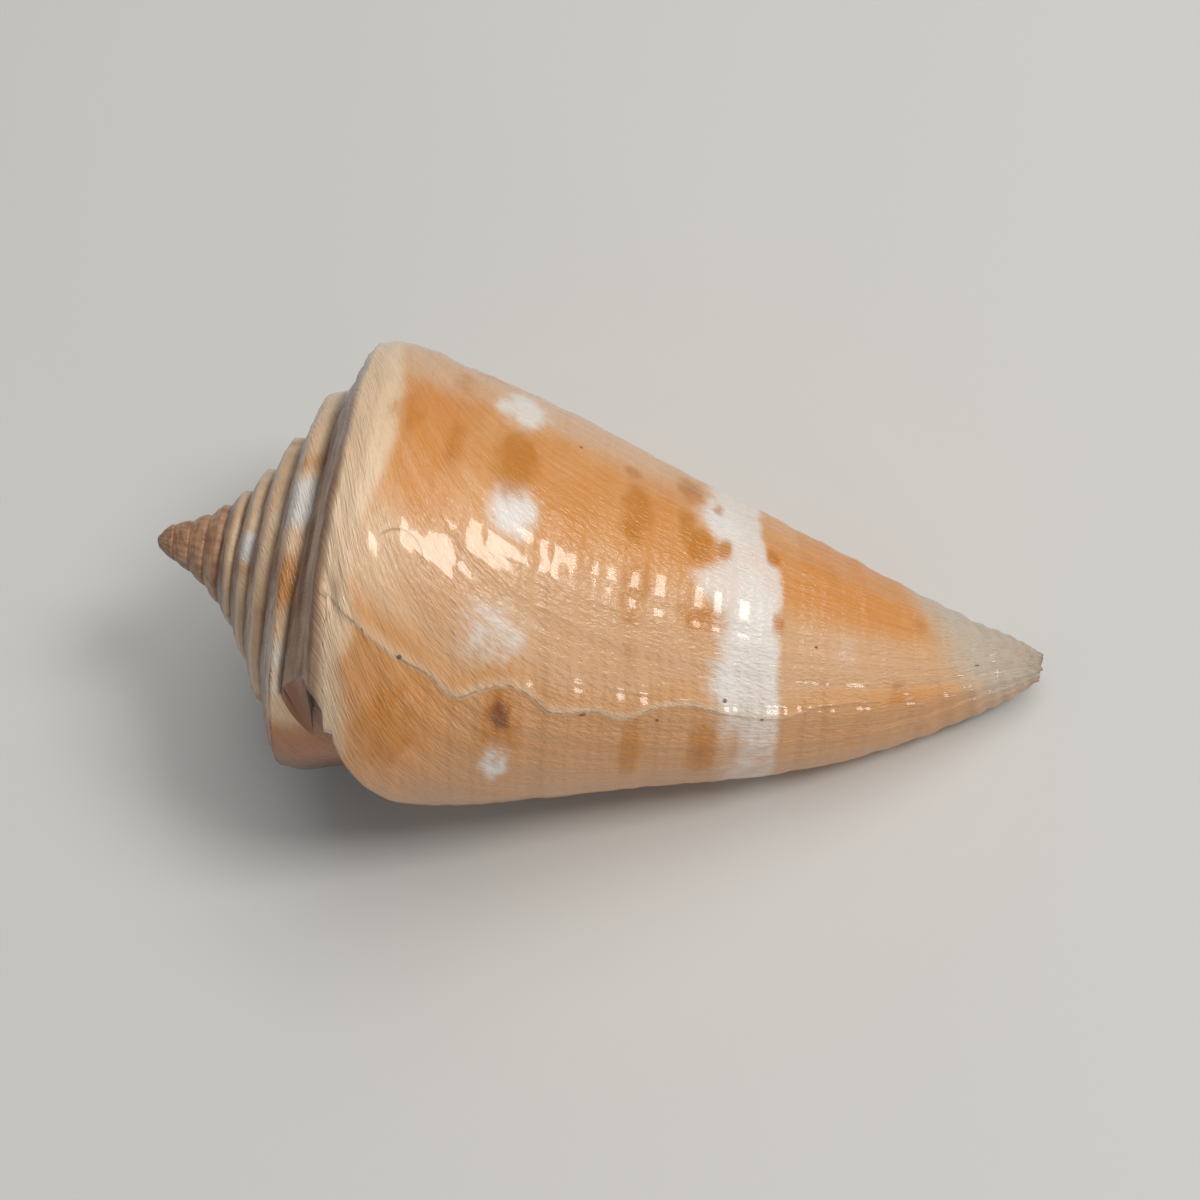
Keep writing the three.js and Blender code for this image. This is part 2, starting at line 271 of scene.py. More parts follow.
def spire_marks(turn, where, size):
    """Ribs on the first turns, cords on the later ramps, and a groove on both sides of each suture."""
    young = smooth((-4.2 - turn) / 1.2)
    ribs = RIBS * np.sin(2 * np.pi * RIBS_PER_TURN * turn) * smooth((where + 0.9) / 0.4)
    cords = CORDS * np.sin(2 * np.pi * CORDS_ON_RAMP * where) * smooth((where + 1) / 0.15) * (where < 0)
    covered = bell(4 * where / np.maximum(shown_share(turn), 1e-4) - 4) * smooth((-1.14 - turn) / 0.02)
    groove = SUTURE_DEPTH * np.sqrt(size) * (bell((where + 1) / 0.07) + covered)
    return young * size * ribs + (1 - young) * size * cords - groove


def relief(turn, where):
    """How far the surface stands out from its plain form."""
    size, distance = shoulder_radius(turn) / 10, down_side(turn, np.clip(where, 0, 1))
    return (growth_lines(turn, where, size, distance) + spiral_threads(where, size, distance)
            + healed_break(turn, where) + spire_marks(turn, where, size))


def surface(turn, where):
    """Points of the outside with its growth marks, for grids of turns and places."""
    plain = in_space(turn, *profile(turn, where), where)
    round_it, down_it = np.gradient(plain, axis=0), np.gradient(plain, axis=1)
    normal = np.cross(round_it, down_it)
    normal /= np.maximum(np.linalg.norm(normal, axis=-1, keepdims=True), 1e-12)
    return plain + normal * relief(turn, where)[..., None]


# ---------------------------------------------------------------- the shell's mesh
# The outside is one spiral ribbon, joined to itself at the suture. Behind the lip a second layer forms the
# aperture, which is closed a little over half a turn in, and left open at the front end.
COLUMNS, HOLLOW_COLUMNS, BAND_ROWS = 250, 27, 4
APERTURE_DEPTH = 0.65  # turns that the aperture runs in behind the lip
REST_ROLL, REST_PITCH = -65.85, 14.64  # how the shell lies, in degrees
MM = 0.001
RAMP_ROWS = np.array([-1, -0.95, -0.88, -0.79, -0.7, -0.61, -0.52, -0.42, -0.32, -0.22, -0.13, -0.06])
BODY_ROWS = np.concatenate([np.linspace(SUTURE_SHARE, INNER_SHARE, 10)[1:],
                            np.linspace(INNER_SHARE, 1, 172)[1:]])
RAMP_END, FLOOR_START, CEILING_START = len(RAMP_ROWS), 9, 7
LIP_CORNER = (-0.1, -1.0, 1.0)  # what the wedge where the lip meets the spire says about its growth


class Ribbon:
    """A grid of points by their numbers in the mesh, with the turn, place and layer of each."""

    def __init__(self, ids, data):
        self.ids, self.data = ids, data

    def quads(self, flip):
        order = [(0, 0), (1, 0), (1, 1), (0, 1)]
        n, m = self.ids.shape
        picks = [(slice(a, n - 1 + a), slice(b, m - 1 + b)) for a, b in (order[::-1] if flip else order)]
        ids = np.stack([self.ids[pick] for pick in picks], -1).reshape(-1, 4).tolist()
        return zip(ids, np.stack([self.data[pick] for pick in picks], -2).reshape(-1, 4, 3).tolist())

    def chain(self, columns, rows):
        ids = self.ids[columns, rows].ravel().tolist()
        return list(zip(ids, self.data[columns, rows].reshape(-1, 3).tolist()))


class Mesh:
    """Collects points, faces, and what each corner of a face says about growth."""

    def __init__(self):
        self.points, self.faces, self.corners = [], [], []
        self.count = 0

    def ribbon(self, points, turn, where, inner=0.0):
        size = points.shape[0] * points.shape[1]
        ids = np.arange(self.count, self.count + size).reshape(points.shape[:2])
        self.points.append(points.reshape(-1, 3))
        self.count += size
        return Ribbon(ids, np.stack([turn, where, np.full_like(turn, inner)], -1))

    def face(self, *corners):
        ids = [corner[0] for corner in corners]
        if len(set(ids)) == len(ids):
            self.faces.append(ids)
            self.corners.extend(corner[1] for corner in corners)

    def cover(self, ribbon, flip=False):
        """Faces all over a ribbon, as triangles where a side has shrunk to a point."""
        for ids, data in ribbon.quads(flip):
            kept = [k for k in range(4) if ids[k] not in ids[:k]]
            if len(kept) > 2:
                self.faces.append([ids[k] for k in kept])
                self.corners.extend(data[k] for k in kept)

    def zip(self, left, right):
        """A strip between two chains of corners, taking the shorter diagonal each time."""
        place = np.concatenate(self.points)
        i = j = 0
        while i < len(left) - 1 or j < len(right) - 1:
            by_left = by_right = np.inf
            if i < len(left) - 1:
                by_left = np.linalg.norm(place[left[i + 1][0]] - place[right[j][0]])
            if j < len(right) - 1:
                by_right = np.linalg.norm(place[left[i][0]] - place[right[j + 1][0]])
            if by_left <= by_right:
                self.face(left[i], right[j], left[i + 1])
                i += 1
            else:
                self.face(left[i], right[j], right[j + 1])
                j += 1


# Columns stand closer where the old break crosses the back, and at the same places in every turn.
fine = np.linspace(-1, 0, 2001)
crowd = np.cumsum(1 + 2.5 * bell((fine + 0.19) / 0.05))
one_turn = np.interp(np.arange(COLUMNS) / COLUMNS, (crowd - crowd[0]) / (crowd[-1] - crowd[0]), fine)
all_turns = np.concatenate([one_turn + k for k in range(-9, 1)] + [[0.0]])
last_turns = all_turns[-COLUMNS - 1:]
mesh = Mesh()

# The ramp of every turn, with the band of its side that the next turn leaves showing.
steps = np.concatenate([[FIRST_TURN], all_turns[all_turns > FIRST_TURN + 1e-6]])[:, None]
band_shares = np.linspace(0, 1, BAND_ROWS + 1)[None]
where = np.concatenate([np.repeat(RAMP_ROWS[None], len(steps), 0), shown_share(steps) * band_shares], 1)
advance = np.where(where > 0, side_advance(SUTURE_SHARE), lip_advance(where))
turn = bent(steps, where, advance)
where[:, RAMP_END + 1:] = shown_share(turn[:, -1:]) * band_shares[:, 1:]
upper = mesh.ribbon(surface(turn, where), turn, where)
upper.ids[0, :] = upper.ids[0, -1]
upper.ids[:COLUMNS, 0] = upper.ids[0, -1]
upper.ids[COLUMNS:, 0] = upper.ids[:-COLUMNS, -1]
mesh.cover(upper)

# The long side of the last turn.
where = np.repeat(np.concatenate([[SUTURE_SHARE], BODY_ROWS])[None], len(last_turns), 0)
where[:, 0] = upper.data[-COLUMNS - 1:, -1, 1]
turn = bent(last_turns[:, None], where, side_advance(np.maximum(where, SUTURE_SHARE)))
turn[:, 0] = upper.data[-COLUMNS - 1:, -1, 0]
body = mesh.ribbon(surface(turn, where), turn, where)
body.ids[:, 0] = upper.ids[-COLUMNS - 1:, -1]
mesh.cover(body)

# The aperture's floor, which is the outside of the inner turn, and its ceiling, the inside of the wall.
steps = -APERTURE_DEPTH * np.linspace(1, 0, HOLLOW_COLUMNS)[:, None] ** 1.6
where = np.repeat(BODY_ROWS[FLOOR_START - 1:][None], len(steps), 0)
turn = bent(steps - 1, where, side_advance(where))
floor_face = mesh.ribbon(surface(turn, where), turn, where, 1)
floor_face.ids[-1, :] = body.ids[0, FLOOR_START:]
mesh.cover(floor_face)
rows = np.concatenate([RAMP_ROWS[CEILING_START:], [0, 0.006], [SUTURE_SHARE], BODY_ROWS])
where = np.repeat(rows[None], len(steps), 0)
advance = lip_advance(where)
turn = bent(steps, where, advance)
ceiling = mesh.ribbon(inside(turn, where, advance), turn, where, 1)
mesh.cover(ceiling, flip=True)

# The lip's edge, the wedge at its corner, the hollow's top and deep end, the wall's front edge, and the
# blunt front end of the whorls inside.
lip_line = upper.chain(-1, slice(CEILING_START, None)) + body.chain(-1, slice(1, None))
mesh.zip(lip_line, ceiling.chain(-1, slice(None)))
ramp_line = upper.chain(-1, slice(0, CEILING_START + 1)) + ceiling.chain(-1, slice(0, 1))
inner_line = body.chain(0, slice(0, FLOOR_START + 1))
mesh.zip(*([(point, LIP_CORNER) for point, _ in line] for line in (ramp_line, inner_line)))
mesh.zip(floor_face.chain(slice(None), 0), ceiling.chain(slice(None), 0))
mesh.zip(ceiling.chain(0, slice(None)), floor_face.chain(0, slice(None)))
hollow = int(np.searchsorted(last_turns, -APERTURE_DEPTH))
mesh.zip(ceiling.chain(slice(None), -1), body.chain(slice(hollow, None), -1))
front = floor_face.chain(slice(None), -1) + body.chain(slice(1, hollow + 1), -1)
front += ceiling.chain(slice(0, 1), -1)
middle = np.mean([np.concatenate(mesh.points)[corner[0]] for corner in front], 0)
mesh.points.append(middle[None])
hub = (mesh.count, front[0][1])
for k, corner in enumerate(front):
    mesh.face(corner, front[(k + 1) % len(front)], hub)

# The finished mesh, turned to lie as the shell does and set in the place of the plain solid.
used, renumber = np.unique(np.concatenate([np.array(f) for f in mesh.faces]), return_inverse=True)
sizes = np.array([len(f) for f in mesh.faces])
rest = Matrix.Rotation(np.radians(REST_PITCH), 3, "Y") @ Matrix.Rotation(np.radians(REST_ROLL), 3, "X")
rest = np.array(rest)
points = np.concatenate(mesh.points)[used] @ rest.T * MM
low, high = (np.array(corner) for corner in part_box("shell"))
shift = (low + high - points.min(0) - points.max(0)) / 2
shift[2] = low[2] - points[:, 2].min()
points += shift

data = bpy.data.meshes.new("shell_surface")
data.vertices.add(len(points))
data.vertices.foreach_set("co", points.ravel())
data.loops.add(len(renumber))
data.loops.foreach_set("vertex_index", renumber.astype(np.int32))
data.polygons.add(len(sizes))
data.polygons.foreach_set("loop_start", np.concatenate([[0], np.cumsum(sizes)[:-1]]).astype(np.int32))
data.polygons.foreach_set("loop_total", sizes.astype(np.int32))
data.update(calc_edges=True)
data.validate()
data.polygons.foreach_set("use_smooth", np.ones(len(sizes), bool))
shell = bpy.data.objects.new("cone_shell", data)
bpy.context.scene.collection.objects.link(shell)

turn, where, inner = np.array(mesh.corners).T
share = np.clip(where, 0, 1)
maps = {
    "growth": (turn, where),
    "lines": (age(turn, where), down_side(turn, share)),
    "marks": (turn - BREAK(share), inner),
}
for name, (across, up) in maps.items():
    layer = data.uv_layers.new(name=name)
    layer.uv.foreach_set("vector", np.stack([across, up], -1).astype(np.float32).ravel())

# ---------------------------------------------------------------- where the shell's colours lie
# The colour is laid down at the lip as the shell grows: tan to orange with a cream shoulder and a white
# band round the middle, and spots in rows along the spiral. The ramps of the spire are brown, with marks
# of their own.
AMBER = [  # place on the side, turn, half size along the side, half size in turns, strength
    (0.223, -0.35, 0.029, 0.031, 1), (0.205, -0.338, 0.02, 0.012, 0.7),
    (0.139, -0.349, 0.014, 0.022, 0.6), (0.136, -0.425, 0.018, 0.014, 0.45),
    (0.07, -0.364, 0.026, 0.017, 0.5), (0.382, -0.391, 0.012, 0.012, 1),
    (0.392, -0.345, 0.024, 0.036, 0.8), (0.39, -0.323, 0.015, 0.014, 0.9),
    (0.4, -0.27, 0.022, 0.032, 0.6), (0.466, -0.414, 0.022, 0.03, 0.95),
    (0.507, -0.396, 0.009, 0.011, 0.7), (0.482, -0.333, 0.021, 0.02, 1),
    (0.463, -0.353, 0.014, 0.022, 0.7), (0.518, -0.339, 0.011, 0.013, 1),
    (0.586, -0.35, 0.01, 0.012, 1), (0.602, -0.271, 0.009, 0.015, 0.85),
    (0.493, -0.261, 0.03, 0.018, 0.75), (0.525, -0.26, 0.011, 0.015, 0.5),
    (0.4, -0.207, 0.014, 0.022, 0.35), (0.234, -0.15, 0.029, 0.033, 0.85),
    (0.414, -0.121, 0.017, 0.037, 0.85), (0.513, -0.111, 0.022, 0.042, 0.9),
    (0.557, -0.121, 0.013, 0.032, 0.5), (0.085, -0.15, 0.045, 0.036, 0.75),
    (0.725, -0.114, 0.01, 0.03, 0.4), (0.675, -0.357, 0.012, 0.032, 0.3),
    (0.807, -0.325, 0.014, 0.017, 0.5), (0.782, -0.186, 0.014, 0.032, 0.4),
    (0.139, -0.418, 0.02, 0.02, 0.4), (0.16, -0.455, 0.03, 0.012, 0.5),
]
WHITE = [
    (0.225, -0.414, 0.031, 0.032, 0.85), (0.2, -0.405, 0.02, 0.012, 0.8),
    (0.228, -0.311, 0.033, 0.022, 0.9), (0.22, -0.223, 0.05, 0.022, 0.5),
    (0.232, -0.118, 0.018, 0.022, 0.95), (0.7, -0.25, 0.02, 0.03, 0.25),
]
RUST = [(0.234, -0.161, 0.013, 0.014, 1), (0.466, -0.414, 0.012, 0.016, 0.35),
        (0.513, -0.111, 0.012, 0.02, 0.3)]
GOLDEN = [(0.1, -0.37, 0.05, 0.07, 1), (0.11, -0.15, 0.06, 0.05, 0.9), (0.3, -0.36, 0.06, 0.08, 0.4),
          (0.1, -0.7, 0.06, 0.1, 0.8), (0.3, -0.8, 0.08, 0.1, 0.5), (0.42, -0.33, 0.05, 0.1, 0.5)]
BAND_START = through([(-1.1, 0.5), (-0.98, 0.49), (-0.9, 0.515), (-0.84, 0.48), (-0.76, 0.5),
                      (-0.68, 0.47), (-0.6, 0.5), (-0.5, 0.49), (-0.42, 0.49), (-0.37, 0.475),
                      (-0.33, 0.515), (-0.3, 0.475), (-0.28, 0.5), (-0.24, 0.52), (-0.2, 0.51),
                      (-0.15, 0.53), (-0.1, 0.54), (0, 0.55)])
BAND_END = through([(-1.1, 0.58), (-0.95, 0.6), (-0.85, 0.585), (-0.7, 0.6), (-0.55, 0.575),
                    (-0.43, 0.571), (-0.36, 0.575), (-0.33, 0.6), (-0.25, 0.607), (-0.2, 0.611),
                    (-0.1, 0.625), (0, 0.63)])
# The side away from the lip's back carries spots of the same kinds, scattered in the same rows.
SPOT_ROWS = (0.14, 0.225, 0.4, 0.49, 0.595)
for row in SPOT_ROWS:
    for place in np.arange(-1.06, -0.52, 0.052) + chance.uniform(-0.012, 0.012, 11):
        size = chance.uniform(0.6, 1.2)
        along_row = row + chance.uniform(-0.012, 0.012)
        spot = (along_row, place, 0.022 * size, 0.02 * size, chance.uniform(0.3, 1))
        (WHITE if chance.random() < 0.22 else AMBER).append(spot)
# Marks on the ramps of the spire: first turn, last turn, strength.
SPIRE_AMBER = [(-1.356, -1.318, 0.9), (-1.272, -1.2, 0.8), (-1.125, -1.03, 0.75), (-1.6, -1.52, 0.35)]
for place in np.arange(-4.6, -1.7, 0.125) + chance.uniform(-0.03, 0.03, 24):
    SPIRE_AMBER.append((place, place + chance.uniform(0.02, 0.06), chance.uniform(0.3, 0.9)))
SPIRE_WHITE = [(-1.335, -1.268, 1), (-1.205, -1.125, 0.5), (-3.3, -3.225, 1), (-2.62, -2.57, 0.5),
               (-0.37, -0.32, 0.6)]
SPIRE_RUST = [(-1.085, -0.9, 0.75)]


def rise(value, start, width):
    return smooth((value - start) / width)


def fall(value, end, width):
    return smooth((end - value) / width)


spire = ((where < 0) | (turn < -1.02)) & (inner < 0.5)
before_break = np.clip((BREAK(share) - turn) / 0.03, 0, 1)
grown = rise(turn, -5.2, 0.8)


def spots(marks):
    """How strongly round marks with soft, slightly uneven edges cover each place of the side."""
    uneven = np.sin(210 * share + 2 * np.sin(150 * turn)) + np.sin(270 * turn + 2 * np.sin(120 * share))
    cover = np.zeros_like(share)
    for at, when, wide, long, strength in marks:
        off = np.hypot((share - at) / wide, (turn - when) / long)
        cover = np.maximum(cover, strength * smooth((1.6 - off + 0.07 * uneven) / 1.3))
    return cover


def blocks(marks, soft=0.028):
    """The same on the ramps of the spire, where a mark fills the ramp from one turn to another."""
    return sum(strength * rise(turn, start, soft) * fall(turn, end, soft) for start, end, strength in marks)


def white_band():
    band = smooth((share - BAND_START(turn)) / 0.055 + 0.4) * smooth((BAND_END(turn) - share) / 0.02 + 0.4)
    return band * (1 - 0.45 * rise(turn, -0.2, 0.1))


def cream_shoulder():
    """Cream from the shoulder down, fading out further down where the shell broke and healed."""
    edge = 0.072 + 0.012 * np.sin(31 * turn) - 0.028 * rise(turn, -0.22, 0.03)
    shoulder = fall(share, edge, 0.045) * (0.75 + 0.25 * fall(turn, -0.27, 0.03))
    return np.maximum(shoulder, 0.45 * fall(share, 0.19, 0.14) * rise(turn, -0.31, 0.03) * before_break)


def deep_orange():
    front = rise(share, 0.61, 0.03) * fall(share, 0.84, 0.12) * fall(turn, -0.2, 0.15)
    return np.maximum(front, spots(GOLDEN)) * ~spire


def pale_tan():
    upper_side = smooth((0.3 - np.abs(share - 0.25)) / 0.14) * fall(turn, -0.385, 0.03)
    return np.maximum(rise(turn, -0.31, 0.05) * before_break, upper_side)


def grey_front():
    start = 0.76 + 0.12 * rise(turn, -0.45, 0.4)
    return rise(share, start, 0.09) * (1 - 0.5 * rise(turn, -0.17, 0.1))


def dark_groove():
    at_suture = bell((where + 1) / 0.22) * grown * 0.85
    beside_next = (turn < -1.14) * smooth(2.2 * where / shown_share(turn) - 1.1) * grown
    return np.maximum(at_suture, beside_next)


paints = {
    "stains": (np.where(spire, blocks(SPIRE_AMBER), spots(AMBER)),
               np.where(spire, blocks(SPIRE_WHITE), spots(WHITE)),
               np.where(spire, 0, white_band()),
               np.where(spire, blocks(SPIRE_RUST, 0.06), spots(RUST))),
    "tones": (np.where(spire, 0.6, cream_shoulder()), deep_orange(), pale_tan(), grey_front()),
    "ramps": (rise(turn, -0.92, 0.08) * fall(where, 0, 0.2) * fall(turn, -0.06, 0.05),
              (turn <= -1.1) * fall(where, -0.02, 0.3) * grown,
              dark_groove(),
              (1 - rise(turn, -4.9, 0.7)) * (turn < -2)),
}
for name, layers in paints.items():
    paint = data.attributes.new(name, "FLOAT_COLOR", "CORNER")
    paint.data.foreach_set("color", np.stack(layers, -1).astype(np.float32).ravel())

# ---------------------------------------------------------------- the shell's material
# Polished aragonite like porcelain, with a thin clear gloss. Colours are mixed from the inside out, and
# fine growth lines and spiral threads catch the light in it.


class Value:
    """The output of a shader node. Sums, differences, products and quotients become Math nodes."""

    def __init__(self, nodes, socket):
        self.nodes, self.socket = nodes, socket

    def math(self, operation, first, second):
        return self.nodes("ShaderNodeMath", {"operation": operation}, {0: first, 1: second})

    def __add__(self, other):
        return self.math("ADD", self, other)

    def __sub__(self, other):
        return self.math("SUBTRACT", self, other)

    def __mul__(self, other):
        return self.math("MULTIPLY", self, other)

    def __truediv__(self, other):
        return self.math("DIVIDE", self, other)

    def __rsub__(self, other):
        return self.math("SUBTRACT", other, self)

    __radd__, __rmul__ = __add__, __mul__


class Nodes:
    """Adds nodes to a material: nodes(type, settings, inputs, output) gives the value of one output."""

    def __init__(self, material):
        material.use_nodes = True
        self.tree = material.node_tree
        self.tree.nodes.clear()

    def __call__(self, kind, settings=None, inputs=None, output=0):
        node = self.tree.nodes.new(kind)
        for name, value in (settings or {}).items():
            setattr(node, name, value)
        for name, value in (inputs or {}).items():
            if isinstance(value, Value):
                self.tree.links.new(value.socket, node.inputs[name])
            else:
                node.inputs[name].default_value = value
        if isinstance(output, int):
            return Value(self, node.outputs[output])
        return [Value(self, node.outputs[k]) for k in output]

    def step(self, value, start, end):
        return self("ShaderNodeMapRange", {"interpolation_type": "SMOOTHSTEP"},
                    {"Value": value, "From Min": start, "From Max": end})

    def mix(self, factor, first, second):
        return self("ShaderNodeMix", {"data_type": "RGBA"}, {0: factor, 6: first, 7: second}, 2)

    def noise(self, across, up, detail=2.0, rough=0.5):
        place = self("ShaderNodeCombineXYZ", inputs={0: across, 1: up})
        return self("ShaderNodeTexNoise", {"noise_dimensions": "2D"},
                    {"Vector": place, "Scale": 1.0, "Detail": detail, "Roughness": rough})

    def laid_out(self, name):
        """The two numbers that a map of the surface holds at a place."""
        place = self("ShaderNodeUVMap", {"uv_map": name})
        return self("ShaderNodeSeparateXYZ", inputs={0: place}, output=range(2))

    def painted(self, name):
        """The four numbers that the paint of a name holds at a place."""
        paint, fourth = self("ShaderNodeAttribute", {"attribute_name": name}, output=(0, 3))
        return [*self("ShaderNodeSeparateColor", inputs={0: paint}, output=range(3)), fourth]

    def surface(self, **inputs):
        """Ends the material in one shader with these inputs, named as on its sockets."""
        named = {name.replace("_", " "): value for name, value in inputs.items()}
        shader = self("ShaderNodeBsdfPrincipled", inputs=named)
        self("ShaderNodeOutputMaterial", inputs={"Surface": shader}, output=())


def colour(red, green, blue):
    """A colour of a paint chart, 0 to 255, as the light it reflects."""
    return tuple(((c / 255 + 0.055) / 1.055) ** 2.4 for c in (red, green, blue)) + (1.0,)


TAN, LIGHT_TAN, ORANGE, PALE_TAN = (colour(218, 148, 76), colour(222, 160, 96), colour(218, 138, 56),
                                    colour(220, 176, 136))
RECENT_TAN, GREY, CREAM = colour(206, 148, 96), colour(202, 186, 168), colour(240, 208, 172)
STREAK, THREAD = colour(246, 222, 190), colour(205, 138, 74)
SPOT_WHITE, BAND_WHITE = colour(238, 232, 226), colour(240, 236, 232)
AMBER_BROWN, RUST_BROWN = colour(196, 122, 26), colour(128, 66, 24)
MAUVE, RAMP_BROWN, GROOVE_BROWN = colour(134, 94, 70), colour(116, 74, 50), colour(92, 56, 32)
YOUNG_DARK, YOUNG_LIGHT = colour(166, 118, 84), colour(198, 152, 116)
SCAR_CREAM, SCAR_DARK = colour(236, 212, 182), colour(104, 74, 48)
FLECK_BROWN, CRESCENT_BROWN = colour(84, 56, 34), colour(120, 82, 50)
LINING_CORNER, LINING_RAMP, LINING_CREAM = colour(150, 86, 36), colour(150, 88, 40), colour(236, 220, 204)
# The amber of the turn under the lip, and the dark brown of the painted shade where the lip's edge
# overhangs it.
UNDER_LIP_AMBER, UNDER_LIP_PAINTED_SHADE = colour(176, 100, 30), colour(84, 46, 18)
FLECKS = [  # place on the side, turn, half size along the side, half size in turns
    (0.536, -0.181, 0.004, 0.003), (0.344, -0.162, 0.006, 0.002), (0.446, -0.156, 0.003, 0.002),
    (0.591, -0.159, 0.003, 0.003), (0.101, -0.202, 0.004, 0.002), (0.659, -0.252, 0.003, 0.002),
    (0.898, -0.249, 0.004, 0.003), (0.305, -0.391, 0.003, 0.002),
]
CRESCENT = (0.088, -0.262, 0.034, 0.018)

porcelain = bpy.data.materials.new("shell_porcelain")
nodes = Nodes(porcelain)
step, mix = nodes.step, nodes.mix
turn_at, place_at = nodes.laid_out("growth")
time_at, distance_at = nodes.laid_out("lines")
after_break, inner_at = nodes.laid_out("marks")
amber_at, white_at, band_at, rust_at = nodes.painted("stains")
cream_at, deep_at, pale_at, grey_at = nodes.painted("tones")
mauve_at, brown_at, groove_at, young_at = nodes.painted("ramps")

mottle = nodes.noise(turn_at * 60, distance_at * 1.1, 4, 0.6)
cloud = nodes.noise(turn_at * 11, distance_at * 0.35, 2, 0.5)
streak = nodes.noise(time_at * 240, distance_at * 0.22, 3, 0.6)
thread = nodes.noise(turn_at * 14, distance_at * 3.2, 2, 0.5)
smear = step(nodes.noise(turn_at * 9, place_at * 4, 3, 0.6), 0.3, 0.62)
blotch = mottle * 0.75 + streak * 0.25


def ragged(amount):
    """An amount of paint with blotchy edges."""
    return step(amount + amount * (1 - amount) * (step(blotch, 0.3, 0.7) - 0.5) * 1.3, 0.02, 0.98)


def off_centre(at, when, wide, long):
    """How far a place is from a small mark's middle, as a share of its half sizes."""
    across, along = (place_at - at) / wide, (turn_at - when) / long
    return nodes("ShaderNodeMath", {"operation": "SQRT"}, {0: across * across + along * along})


# The side: tan to orange, paler after the break, grey at the front end and cream at the shoulder.
base = mix(step(cloud, 0.35, 0.65), TAN, LIGHT_TAN)
base = mix(deep_at * 0.75, base, ORANGE)
base = mix(pale_at * 0.8, base, PALE_TAN)
recent = step(after_break, -0.004, 0.01) * step(turn_at, -0.3, -0.2)
base = mix(recent * (1 - deep_at) * 0.8, base, RECENT_TAN)
base = mix(grey_at, base, GREY)
base = mix(step(cream_at + (mottle - 0.5) * 0.3, 0.1, 0.8), base, CREAM)
base = mix(step(streak, 0.3, 0.75) * 0.13, base, STREAK)
base = mix(step(thread, 0.45, 0.8) * 0.14, base, THREAD)
base = mix(ragged(white_at), base, SPOT_WHITE)
base = mix(ragged(band_at) * (cloud * 0.5 + 0.58), base, BAND_WHITE)
base = mix(ragged(amber_at) * 0.85, base, AMBER_BROWN)
base = mix(ragged(rust_at) * 0.85, base, RUST_BROWN)

# The ramps of the spire, the first turns, and the dark grooves at the sutures.
base = mix(mauve_at * (smear * 0.45 + 0.55), base, MAUVE)
base = mix(brown_at * (smear * 0.5 + 0.5), base, RAMP_BROWN)
base = mix(young_at, base, mix(smear, YOUNG_DARK, YOUNG_LIGHT))
base = mix(groove_at * (smear * 0.35 + 0.6), base, GROOVE_BROWN)

# The healed break: a cream fringe and a broken dark line, a few flecks and a small crescent.
on_side = step(place_at, -0.02, 0.01)
crack = (1 - step(after_break, 0.0, 0.0016)) * step(after_break, -0.0018, -0.0003)
crack = crack * step(nodes.noise(distance_at * 3.5, turn_at * 3, 3, 0.7), 0.4, 0.58) * on_side
fringe = step(after_break, -0.012, -0.001) * (1 - step(after_break, 0.0, 0.004)) * on_side
base = mix(fringe * (1 - step(place_at, 0.5, 0.8)) * 0.5, base, SCAR_CREAM)
base = mix(crack * (1 - step(place_at, 0.5, 0.75)) * 0.45, base, SCAR_DARK)
for fleck in FLECKS:
    base = mix((1 - step(off_centre(*fleck), 0.5, 1.1)) * 0.8, base, FLECK_BROWN)
crescent_off = off_centre(*CRESCENT)
crescent = step(crescent_off, 0.93, 0.99) * (1 - step(crescent_off, 1.0, 1.06))
crescent = crescent * (1 - step(turn_at, -0.268, -0.255)) * step(place_at, 0.055, 0.075)
base = mix(crescent * 0.35, base, CRESCENT_BROWN)

# The lining of the aperture, and the amber of the turn that the lip runs on to, darkened by painted shade
# towards the lip.
lining = mix(step(place_at, -0.6, -0.2), LINING_CORNER, LINING_RAMP)
base = mix(inner_at, base, mix(step(place_at, 0.04, 0.12), lining, LINING_CREAM))
# Painted shade: on the turn under the lip, the amber darkens to dark brown towards the lip's edge.
amber_and_lip_shade = step(turn_at, -1.125, -1.08) * (1 - step(turn_at, -0.9, -0.8))
amber_and_lip_shade = amber_and_lip_shade * (1 - step(place_at, 0.08, 0.2)) * step(place_at, -0.9, -0.5)
base = mix(amber_and_lip_shade * (smear * 0.2 + 0.8), base, mix(step(turn_at, -1.09, -1.0), UNDER_LIP_AMBER, UNDER_LIP_PAINTED_SHADE))

growth_line = nodes.noise(time_at * 260, distance_at * 2.6, 2, 0.6)
spiral = nodes("ShaderNodeMath", {"operation": "SINE"}, {0: distance_at * (2 * np.pi / THREAD_GAP)})
height = growth_line + spiral * step(place_at, 0.05, 0.2) * 0.07 - crescent * 0.4
bump = nodes("ShaderNodeBump", inputs={"Height": height, "Strength": 1.0, "Distance": 0.065 * MM})
nodes.surface(Base_Color=base, Roughness=0.3, Coat_Weight=0.45, Coat_Roughness=0.08, Normal=bump)
data.materials.append(porcelain)
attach(shell, "root")
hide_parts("shell")

# ---------------------------------------------------------------- the floor, the light and the camera
# A pale matt table. A small lamp over the shell's right gives it its gloss, a faint one stands low beside
# it, and a broad one above fills the shade.
FLOOR_HALF = 3.0
CAMERA_AXIS_POINT, CAMERA_DISTANCE, CAMERA_LENS = 20.03, 96.0, 64.1
CAMERA_TURN = 8.2  # degrees
CAMERA_RIGHT, CAMERA_ABOVE = 0.027, 0.072


def as_it_lies(along, towards, up):
    """A direction along the shell's axis from the apex, towards the viewer and up across it."""
    return rest @ np.array([along, -towards, up])


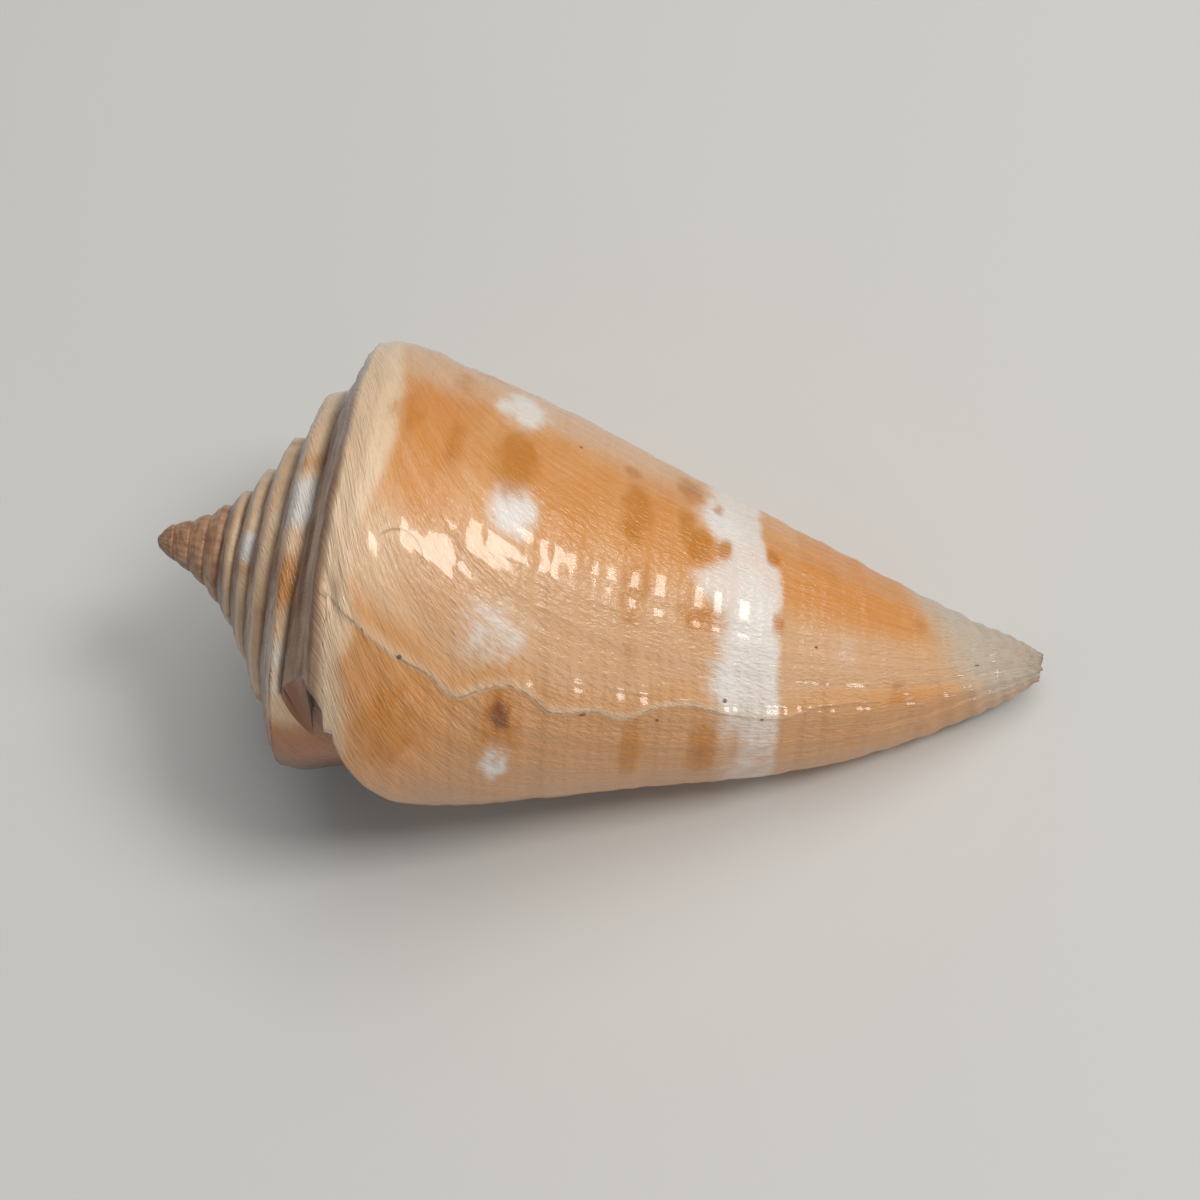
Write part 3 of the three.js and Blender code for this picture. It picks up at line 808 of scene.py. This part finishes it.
table = bpy.data.meshes.new("table_top")
around = ((-1, -1), (1, -1), (1, 1), (-1, 1))
table.from_pydata([(FLOOR_HALF * x, FLOOR_HALF * y, 0) for x, y in around], [], [(0, 1, 2, 3)])
floor = bpy.data.objects.new("table_top", table)
bpy.context.scene.collection.objects.link(floor)
paper = bpy.data.materials.new("pale_paper")
Nodes(paper).surface(Base_Color=colour(222, 222, 220), Roughness=0.8)
table.materials.append(paper)

tilt = np.radians(CAMERA_TURN)
right, above = as_it_lies(np.cos(tilt), 0, np.sin(tilt)), as_it_lies(-np.sin(tilt), 0, np.cos(tilt))
aim = as_it_lies(CAMERA_AXIS_POINT, 0, 0) + CAMERA_RIGHT * right + CAMERA_ABOVE * above
target = Vector(aim * MM + shift)
eye = Vector((aim + as_it_lies(0, CAMERA_DISTANCE, 0)) * MM + shift)
right, above, back = Vector(right), Vector(above), (eye - target).normalized()
lens = bpy.data.cameras.new("camera")
lens.lens = CAMERA_LENS
lens.clip_start, lens.clip_end = 0.005, 20
camera = bpy.data.objects.new("camera", lens)
camera.matrix_world = Matrix.Translation(eye) @ Matrix([right, above, back]).transposed().to_4x4()
bpy.context.scene.collection.objects.link(camera)
bpy.context.scene.camera = camera


def lamp(name, size, power, rightwards, upwards, distance, tint):
    """A square lamp, placed by its angles from the camera's line of sight."""
    a, b = np.radians(rightwards), np.radians(upwards)
    way = right * float(np.sin(a) * np.cos(b)) + above * float(np.sin(b))
    way += back * float(np.cos(a) * np.cos(b))
    light = bpy.data.lights.new(name, "AREA")
    light.size, light.energy, light.color = size, power, tint
    stand = bpy.data.objects.new(name, light)
    stand.location = target + way * distance
    stand.rotation_euler = (target - stand.location).to_track_quat("-Z", "Y").to_euler()
    bpy.context.scene.collection.objects.link(stand)


lamp("key", 0.12, 0.85, 30, 19, 0.45, (1, 0.96, 0.9))
lamp("low", 0.06, 0.2, 46, -42, 0.45, (1, 0.96, 0.9))
lamp("fill", 0.7, 3.0, 5, 42, 0.9, (1, 0.98, 0.95))
room = bpy.data.worlds.new("room")
room.use_nodes = True
room.node_tree.nodes["Background"].inputs["Color"].default_value = (0.96, 0.98, 1.0, 1)
room.node_tree.nodes["Background"].inputs["Strength"].default_value = 0.2
bpy.context.scene.world = room
bpy.context.scene.view_settings.view_transform = "Standard"
